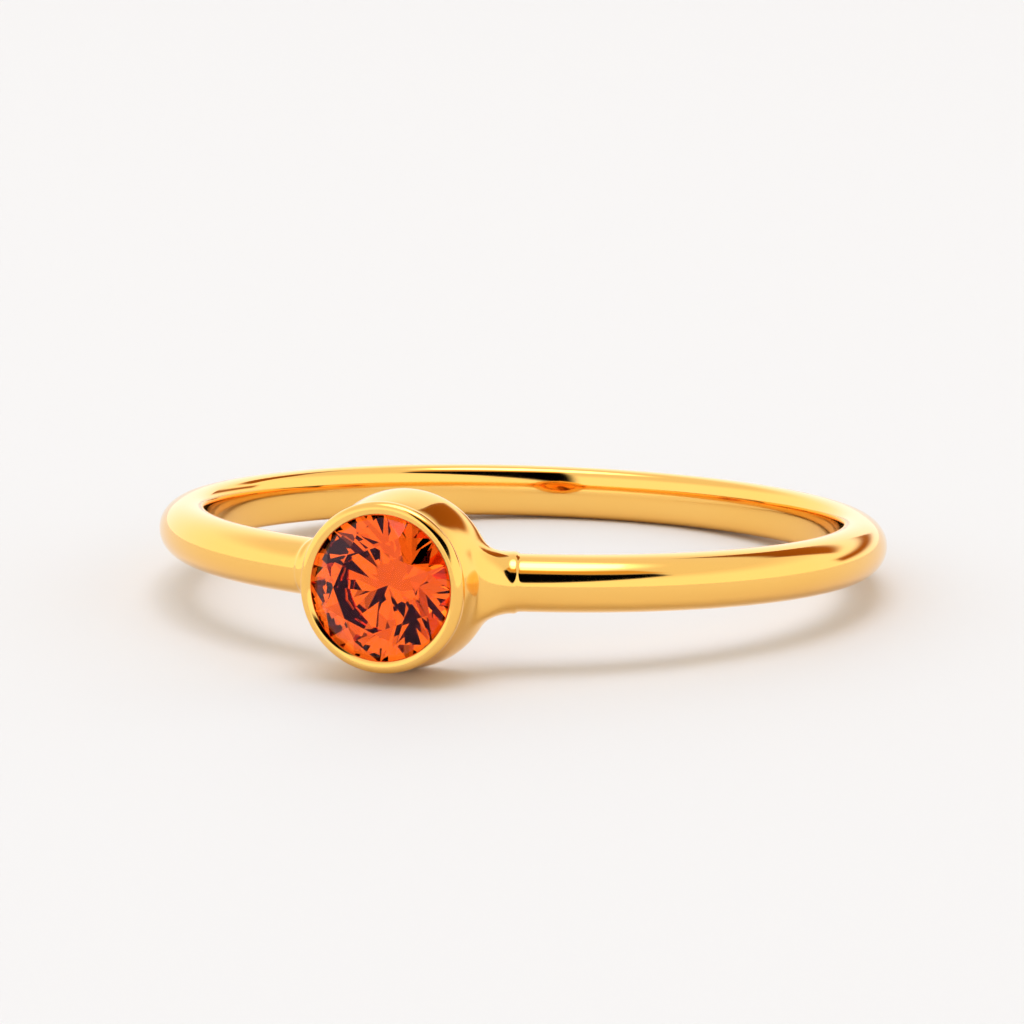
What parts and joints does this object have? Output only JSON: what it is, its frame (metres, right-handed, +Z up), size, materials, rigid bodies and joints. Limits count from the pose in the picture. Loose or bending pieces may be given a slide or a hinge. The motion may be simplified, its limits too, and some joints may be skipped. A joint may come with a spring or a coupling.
{
  "type": "stackable ring",
  "caption": "Thin stacking ring: plain domed band with a round bezel setting holding one faceted orange stone, worn on a finger.",
  "frame": {"origin": "on the surface that the ring lies on, under the middle of its box", "axes": "+Z up from that surface; the finger hole runs along Z, leaned back 5 degrees as the ring rests; the stone looks along -Y and a little up; X runs across the ring, which is mirrored about X = 0"},
  "size_m": [0.0204, 0.0222, 0.0047],
  "materials": {
    "gold": "polished",
    "orange_stone": "faceted and polished"
  },
  "bodies": {
    "root": {"band_and_setting": "gold", "stone": "orange_stone"}
  },
  "joints": []
}
